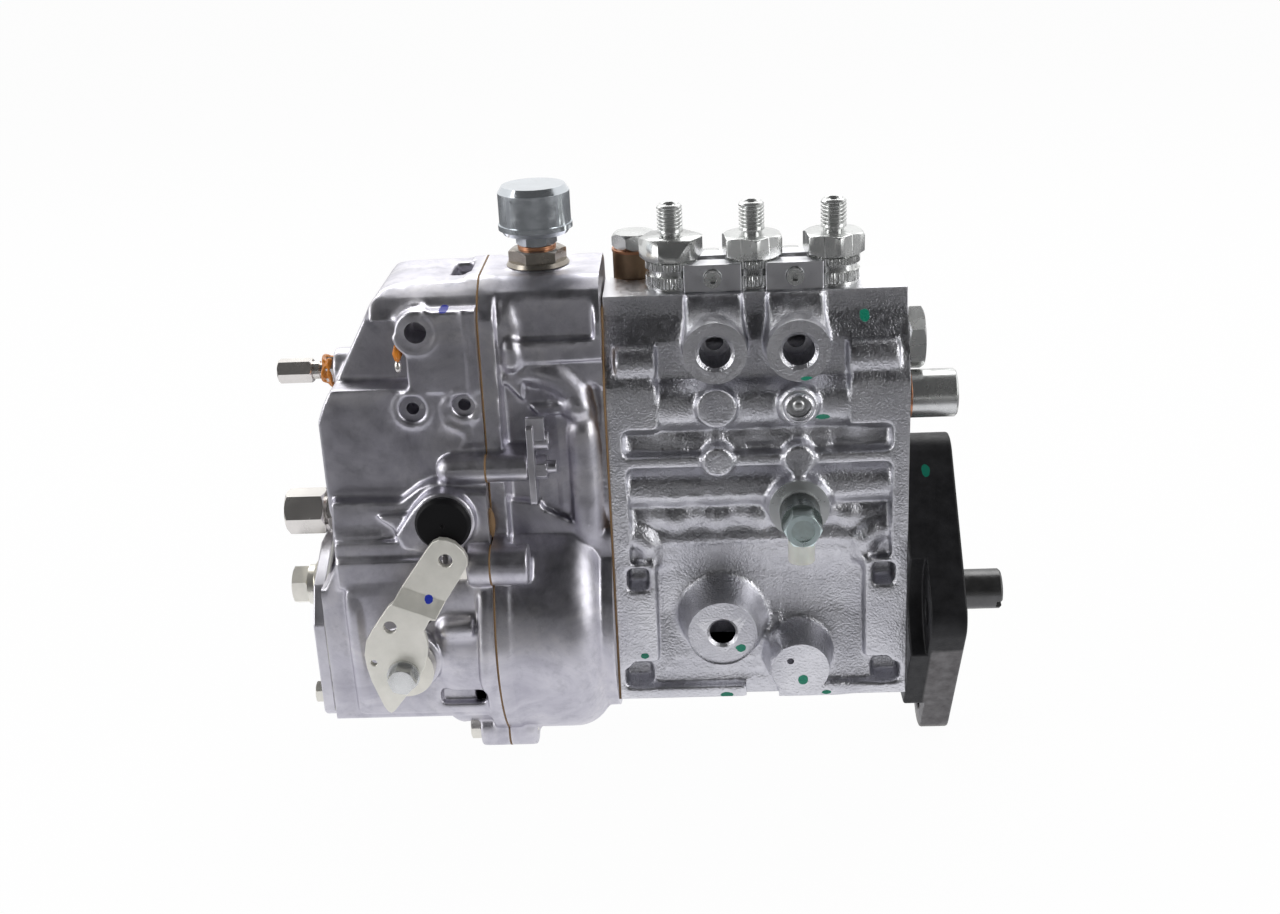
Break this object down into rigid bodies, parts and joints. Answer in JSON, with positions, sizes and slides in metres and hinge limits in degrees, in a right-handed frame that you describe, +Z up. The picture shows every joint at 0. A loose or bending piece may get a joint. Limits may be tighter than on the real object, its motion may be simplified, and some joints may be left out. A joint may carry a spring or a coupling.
{
  "type": "diesel injection pump",
  "caption": "In-line diesel injection pump: aluminium housing with outlet fittings on top, flange and slotted shaft at one end, governor with lever and breather at the other.",
  "frame": {"origin": "camshaft axis where it meets the drive flange mounting face, at the root of the pilot spigot", "axes": "+X along the camshaft out of the drive end, +Z up towards the fuel outlets, -Y towards the side with the fuel ports and the control lever"},
  "size_m": [0.3018, 0.1229, 0.2427],
  "materials": {
    "cast_aluminium": "sand-cast, bright blasted",
    "diecast_aluminium": "die-cast, satin",
    "black_iron": "black coated, lower foot machined grey",
    "steel": "machined and plated",
    "hardened_steel": "ground",
    "spring_steel": "drawn wire",
    "zinc_steel": "zinc plated",
    "nickel": "nickel plated",
    "chrome_cap": "bright plated sheet",
    "olive_steel": "olive chromated",
    "bronze": "dull bronze",
    "copper": "soft copper",
    "rubber_black": "matt moulded",
    "white_nylon": "moulded",
    "gasket_paper": "brown fibre"
  },
  "bodies": {
    "pump": {"pump_housing": "cast_aluminium", "drive_flange": "black_iron", "shaft_seal": "rubber_black", "shaft_bearings": "hardened_steel", "inner_seats": "steel", "barrels": "hardened_steel", "valve_holders": "steel", "clamp_jaws": "cast_aluminium", "clamp_screws": "steel", "rack_cap": "steel", "housing_plugs": "steel", "vent_screw": "zinc_steel", "vent_nipple": "white_nylon", "overflow_union": "bronze", "overflow_bolt": "steel", "copper_washers": "copper", "governor_housing": "diecast_aluminium", "governor_cover": "diecast_aluminium", "end_plate": "diecast_aluminium", "gaskets": "gasket_paper", "breather_cap": "chrome_cap", "breather_nut": "olive_steel", "cover_plug": "rubber_black", "full_load_screw": "nickel", "idle_cap_nut": "nickel", "lock_bolt": "zinc_steel", "cover_bolts": "zinc_steel", "line_clip": "diecast_aluminium", "governor_spring": "spring_steel", "plunger_spring_1": "spring_steel", "valve_spring_1": "spring_steel", "plunger_spring_2": "spring_steel", "valve_spring_2": "spring_steel", "plunger_spring_3": "spring_steel", "valve_spring_3": "spring_steel"},
    "camshaft": {"camshaft": "hardened_steel", "flyweight_carrier": "steel"},
    "flyweight_a": {"flyweight_a": "hardened_steel"},
    "flyweight_b": {"flyweight_b": "hardened_steel"},
    "governor_sleeve": {"governor_sleeve": "steel"},
    "control_rack": {"control_rack": "hardened_steel"},
    "guide_lever": {"guide_lever": "steel"},
    "control_lever": {"control_lever": "zinc_steel", "lever_shaft": "zinc_steel", "lever_bolt": "steel"},
    "tappet_1": {"tappet_1": "hardened_steel", "tappet_fittings_1": "hardened_steel"},
    "plunger_1": {"plunger_1": "hardened_steel"},
    "control_sleeve_1": {"control_sleeve_1": "bronze"},
    "delivery_valve_1": {"delivery_valve_1": "hardened_steel"},
    "tappet_2": {"tappet_2": "hardened_steel", "tappet_fittings_2": "hardened_steel"},
    "plunger_2": {"plunger_2": "hardened_steel"},
    "control_sleeve_2": {"control_sleeve_2": "bronze"},
    "delivery_valve_2": {"delivery_valve_2": "hardened_steel"},
    "tappet_3": {"tappet_3": "hardened_steel", "tappet_fittings_3": "hardened_steel"},
    "plunger_3": {"plunger_3": "hardened_steel"},
    "control_sleeve_3": {"control_sleeve_3": "bronze"},
    "delivery_valve_3": {"delivery_valve_3": "hardened_steel"}
  },
  "joints": [
    {"name": "camshaft_spin", "type": "hinge", "parent": "pump", "child": "camshaft", "pos_m": [0, 0, 0], "axis": [1, 0, 0], "continuous": true},
    {"name": "flyweight_a_swing", "type": "hinge", "parent": "camshaft", "child": "flyweight_a", "pos_m": [-0.16, 0, 0.026], "axis": [0, 1, 0], "range_deg": [0, 20]},
    {"name": "flyweight_b_swing", "type": "hinge", "parent": "camshaft", "child": "flyweight_b", "pos_m": [-0.16, 0, -0.026], "axis": [0, -1, 0], "range_deg": [0, 20]},
    {"name": "governor_sleeve_slide", "type": "slide", "parent": "pump", "child": "governor_sleeve", "axis": [-1, 0, 0], "range_m": [0, 0.0049], "deforming": ["governor_spring"]},
    {"name": "rack_slide", "type": "slide", "parent": "pump", "child": "control_rack", "axis": [1, 0, 0], "range_m": [-0.008, 0.008]},
    {"name": "guide_lever_swing", "type": "hinge", "parent": "pump", "child": "guide_lever", "pos_m": [-0.196, -0.0105, 0.022], "axis": [0, 1, 0], "range_deg": [-6.5, 6.5]},
    {"name": "control_lever_swing", "type": "hinge", "parent": "pump", "child": "control_lever", "pos_m": [-0.2232, -0.06, 0], "axis": [0, 1, 0], "range_deg": [-50, 0]},
    {"name": "tappet_1_lift", "type": "slide", "parent": "pump", "child": "tappet_1", "axis": [0, 0, -1], "range_m": [0, 0.007], "deforming": ["plunger_spring_1"]},
    {"name": "plunger_1_turn", "type": "hinge", "parent": "tappet_1", "child": "plunger_1", "pos_m": [-0.1125, 0, 0.08], "axis": [0, 0, 1], "range_deg": [-42, 42]},
    {"name": "sleeve_1_turn", "type": "hinge", "parent": "pump", "child": "control_sleeve_1", "pos_m": [-0.1125, 0, 0.095], "axis": [0, 0, 1], "range_deg": [-42, 42]},
    {"name": "delivery_valve_1_lift", "type": "slide", "parent": "pump", "child": "delivery_valve_1", "axis": [0, 0, 1], "range_m": [0, 0.0015], "deforming": ["valve_spring_1"]},
    {"name": "tappet_2_lift", "type": "slide", "parent": "pump", "child": "tappet_2", "axis": [0, 0, 1], "range_m": [-0.007, 0], "deforming": ["plunger_spring_2"]},
    {"name": "plunger_2_turn", "type": "hinge", "parent": "tappet_2", "child": "plunger_2", "pos_m": [-0.0805, 0, 0.08], "axis": [0, 0, 1], "range_deg": [-42, 42]},
    {"name": "sleeve_2_turn", "type": "hinge", "parent": "pump", "child": "control_sleeve_2", "pos_m": [-0.0805, 0, 0.095], "axis": [0, 0, 1], "range_deg": [-42, 42]},
    {"name": "delivery_valve_2_lift", "type": "slide", "parent": "pump", "child": "delivery_valve_2", "axis": [0, 0, 1], "range_m": [0, 0.0015], "deforming": ["valve_spring_2"]},
    {"name": "tappet_3_lift", "type": "slide", "parent": "pump", "child": "tappet_3", "axis": [0, 0, 1], "range_m": [-0.007, 0], "deforming": ["plunger_spring_3"]},
    {"name": "plunger_3_turn", "type": "hinge", "parent": "tappet_3", "child": "plunger_3", "pos_m": [-0.0485, 0, 0.08], "axis": [0, 0, 1], "range_deg": [-42, 42]},
    {"name": "sleeve_3_turn", "type": "hinge", "parent": "pump", "child": "control_sleeve_3", "pos_m": [-0.0485, 0, 0.095], "axis": [0, 0, 1], "range_deg": [-42, 42]},
    {"name": "delivery_valve_3_lift", "type": "slide", "parent": "pump", "child": "delivery_valve_3", "axis": [0, 0, 1], "range_m": [0, 0.0015], "deforming": ["valve_spring_3"]}
  ],
  "couplings": [
    {"joint": "flyweight_b_swing", "follows": "flyweight_a_swing", "ratio": 1},
    {"joint": "governor_sleeve_slide", "follows": "flyweight_a_swing", "m_per_rad": 0.014},
    {"joint": "guide_lever_swing", "follows": "rack_slide", "rad_per_m": 13.699},
    {"joint": "plunger_1_turn", "follows": "rack_slide", "rad_per_m": 90.909},
    {"joint": "sleeve_1_turn", "follows": "rack_slide", "rad_per_m": 90.909},
    {"joint": "plunger_2_turn", "follows": "rack_slide", "rad_per_m": 90.909},
    {"joint": "sleeve_2_turn", "follows": "rack_slide", "rad_per_m": 90.909},
    {"joint": "plunger_3_turn", "follows": "rack_slide", "rad_per_m": 90.909},
    {"joint": "sleeve_3_turn", "follows": "rack_slide", "rad_per_m": 90.909}
  ]
}
